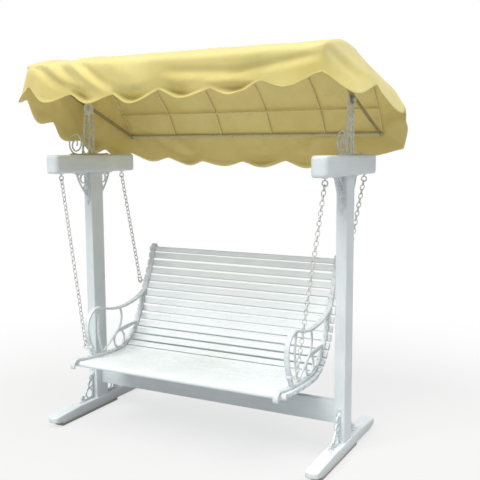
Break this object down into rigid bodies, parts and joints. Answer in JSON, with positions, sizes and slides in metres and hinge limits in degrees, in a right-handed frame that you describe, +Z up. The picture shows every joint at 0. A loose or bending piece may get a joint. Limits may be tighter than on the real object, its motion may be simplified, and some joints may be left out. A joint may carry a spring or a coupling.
{
  "type": "canopy swing",
  "caption": "Garden swing bench: a slatted seat with scrolled iron arms on chains in a white timber frame, under a tilting arched canopy with scalloped valances",
  "frame": {"origin": "on the floor, under the middle of the whole swing", "axes": "+X runs to the right seen from the front, +Y to the back, +Z up; people sit facing -Y"},
  "size_m": [2.1276, 1.068, 2.3017],
  "materials": {
    "painted_timber": "white brushed paint over planed timber",
    "painted_iron": "white paint over cast iron",
    "canopy_cloth": "pale yellow woven cloth, matte",
    "canopy_steel": "light paint over round steel",
    "chain_steel": "white paint worn on the rims of the links",
    "fastener_steel": "white paint over steel heads"
  },
  "bodies": {
    "root": {"bracket_screws": "fastener_steel", "left_canopy_mast": "painted_iron", "left_canopy_pivot": "fastener_steel", "left_chain_hooks": "chain_steel", "left_cross_beam": "painted_timber", "left_foot": "painted_timber", "left_foot_sole": "painted_timber", "left_front_beam_bracket": "painted_iron", "left_front_foot_bracket": "painted_iron", "left_post": "painted_timber", "left_rear_beam_bracket": "painted_iron", "left_rear_foot_bracket": "painted_iron", "mast_screws": "fastener_steel", "right_canopy_mast": "painted_iron", "right_canopy_pivot": "fastener_steel", "right_chain_hooks": "chain_steel", "right_cross_beam": "painted_timber", "right_foot": "painted_timber", "right_foot_sole": "painted_timber", "right_front_beam_bracket": "painted_iron", "right_front_foot_bracket": "painted_iron", "right_post": "painted_timber", "right_rear_beam_bracket": "painted_iron", "right_rear_foot_bracket": "painted_iron", "stretcher": "painted_timber", "stretcher_pegs": "painted_timber"},
    "canopy": {"canopy_front_bar": "canopy_steel", "canopy_front_valance": "canopy_cloth", "canopy_hoop_1": "canopy_steel", "canopy_hoop_2": "canopy_steel", "canopy_hoop_3": "canopy_steel", "canopy_hoop_4": "canopy_steel", "canopy_hoop_5": "canopy_steel", "canopy_hoop_6": "canopy_steel", "canopy_left_rail": "canopy_steel", "canopy_left_valance": "canopy_cloth", "canopy_purlin": "canopy_steel", "canopy_rear_bar": "canopy_steel", "canopy_rear_valance": "canopy_cloth", "canopy_right_rail": "canopy_steel", "canopy_right_valance": "canopy_cloth", "canopy_roof_cloth": "canopy_cloth"},
    "front_chains": {"left_front_chain": "chain_steel", "right_front_chain": "chain_steel"},
    "rear_chains": {"left_rear_chain": "chain_steel", "right_rear_chain": "chain_steel"},
    "bench": {"back_slats": "painted_timber", "bench_front_eyes": "chain_steel", "bench_left_arm": "painted_iron", "bench_left_rail": "painted_iron", "bench_rear_stirrups": "chain_steel", "bench_right_arm": "painted_iron", "bench_right_rail": "painted_iron", "front_slat": "painted_timber", "seat_slats": "painted_timber", "slat_screws": "fastener_steel", "top_slat": "painted_timber"}
  },
  "joints": [
    {"name": "front_swing", "type": "hinge", "parent": "root", "child": "front_chains", "pos_m": [0, -0.312, 1.55616], "axis": [1, 0, 0], "range_deg": [-15, 15]},
    {"name": "rear_swing", "type": "hinge", "parent": "root", "child": "rear_chains", "pos_m": [0, 0.31057, 1.55626], "axis": [1, 0, 0], "range_deg": [-22, 22]},
    {"name": "bench_level", "type": "hinge", "parent": "front_chains", "child": "bench", "pos_m": [0, -0.312, 0.52484], "axis": [1, 0, 0], "range_deg": [-15, 15]},
    {"name": "canopy_tilt", "type": "hinge", "parent": "root", "child": "canopy", "pos_m": [0, 0, 2.015], "axis": [1, 0, 0], "range_deg": [-10, 20]}
  ],
  "couplings": [
    {"joint": "rear_swing", "follows": "front_swing", "ratio": 1.4558},
    {"joint": "bench_level", "follows": "front_swing", "ratio": -1}
  ]
}
